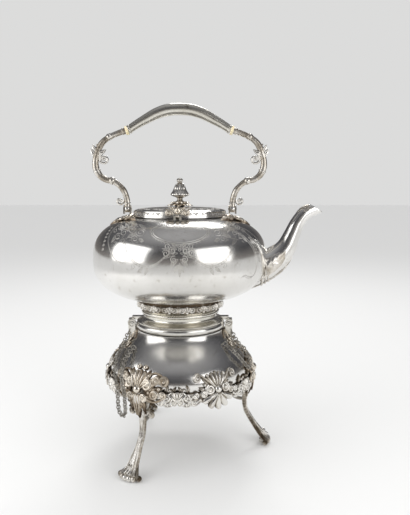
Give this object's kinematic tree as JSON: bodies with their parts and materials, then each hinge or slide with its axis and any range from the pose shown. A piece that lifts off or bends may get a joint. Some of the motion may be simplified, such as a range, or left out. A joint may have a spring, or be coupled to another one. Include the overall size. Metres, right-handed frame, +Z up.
{
  "type": "spirit kettle on stand",
  "caption": "Squat round kettle with hinged lid, swan-neck spout and bail handle, pinned to a stand with cabriole legs, cast apron and a spirit lamp below.",
  "frame": {"origin": "on the table under the stand's axis", "axes": "+Z up, +X towards the spout, -Y the front, where the lid's hinge is"},
  "size_m": [0.2665, 0.2, 0.4013],
  "materials": {
    "plate": "polished silver plate, lightly worn",
    "engraved_plate": "polished silver plate with chased ornament",
    "cast_silver": "cast silver plate, tarnished in the hollows",
    "warm_cast": "tarnished gilt-brown plate",
    "insulator": "polished cream bone-like rings",
    "chain": "dull tarnished wire",
    "lamp_plate": "dull silver plate",
    "wick_cotton": "woven cotton"
  },
  "bodies": {
    "stand": {"stand_shell": "plate", "bead_ring": "plate", "stand_ears_left": "cast_silver", "stand_ears_right": "cast_silver", "chain_left": "chain", "chain_right": "chain", "chain_eye_left": "cast_silver", "chain_eye_right": "cast_silver", "apron": "cast_silver", "apron_shells": "cast_silver", "leg_1": "cast_silver", "leg_2": "cast_silver", "leg_3": "cast_silver", "knee_1": "cast_silver", "knee_2": "cast_silver", "knee_3": "cast_silver", "pendant_1": "cast_silver", "pendant_2": "cast_silver", "pendant_3": "cast_silver", "burner_ring": "lamp_plate", "burner_strut_1": "lamp_plate", "burner_strut_2": "lamp_plate", "burner_strut_3": "lamp_plate"},
    "kettle": {"kettle_body": "engraved_plate", "kettle_foot": "plate", "foot_border": "cast_silver", "spout": "plate", "spout_collar": "cast_silver", "handle_mount_left": "cast_silver", "handle_mount_right": "cast_silver", "handle_pin_left": "plate", "handle_pin_right": "plate", "lid_hinge_lugs": "cast_silver", "lid_hinge_pin": "plate", "pivot_lug_right": "cast_silver", "hook_lug_left": "cast_silver"},
    "lid": {"lid": "engraved_plate", "lid_hinge_leaf": "cast_silver", "finial_flower": "cast_silver", "finial_bud": "cast_silver", "finial_nut": "plate"},
    "handle": {"handle_arm_left": "cast_silver", "handle_arm_right": "cast_silver", "insulator_left": "insulator", "insulator_right": "insulator", "handle_grip": "plate"},
    "left_pin": {"pin_left": "plate"},
    "right_pin": {"pin_right": "plate"},
    "lamp": {"lamp_reservoir": "lamp_plate", "lamp_collar": "warm_cast", "wick_tube": "warm_cast", "wick": "wick_cotton"},
    "snuffer": {"snuffer_cap": "lamp_plate"}
  },
  "joints": [
    {"name": "kettle_tilt", "type": "hinge", "parent": "stand", "child": "kettle", "pos_m": [0.057, 0, 0.1455], "axis": [0, 1, 0], "range_deg": [0, 45]},
    {"name": "lid_hinge", "type": "hinge", "parent": "kettle", "child": "lid", "pos_m": [0, -0.0569, 0.27598], "axis": [1, 0, 0], "range_deg": [0, 100]},
    {"name": "handle_swing", "type": "hinge", "parent": "kettle", "child": "handle", "pos_m": [0, 0, 0.28216], "axis": [-1, 0, 0], "range_deg": [0, 85]},
    {"name": "pin_left_slide", "type": "slide", "parent": "stand", "child": "left_pin", "axis": [0, -1, 0], "range_m": [0, 0.02]},
    {"name": "pin_right_slide", "type": "slide", "parent": "stand", "child": "right_pin", "axis": [0, -1, 0], "range_m": [0, 0.02]},
    {"name": "lamp_lift", "type": "slide", "parent": "stand", "child": "lamp", "axis": [0, 0, 1], "range_m": [0, 0.025]},
    {"name": "snuffer_lift", "type": "slide", "parent": "lamp", "child": "snuffer", "axis": [0, 0, 1], "range_m": [0, 0.02]}
  ]
}
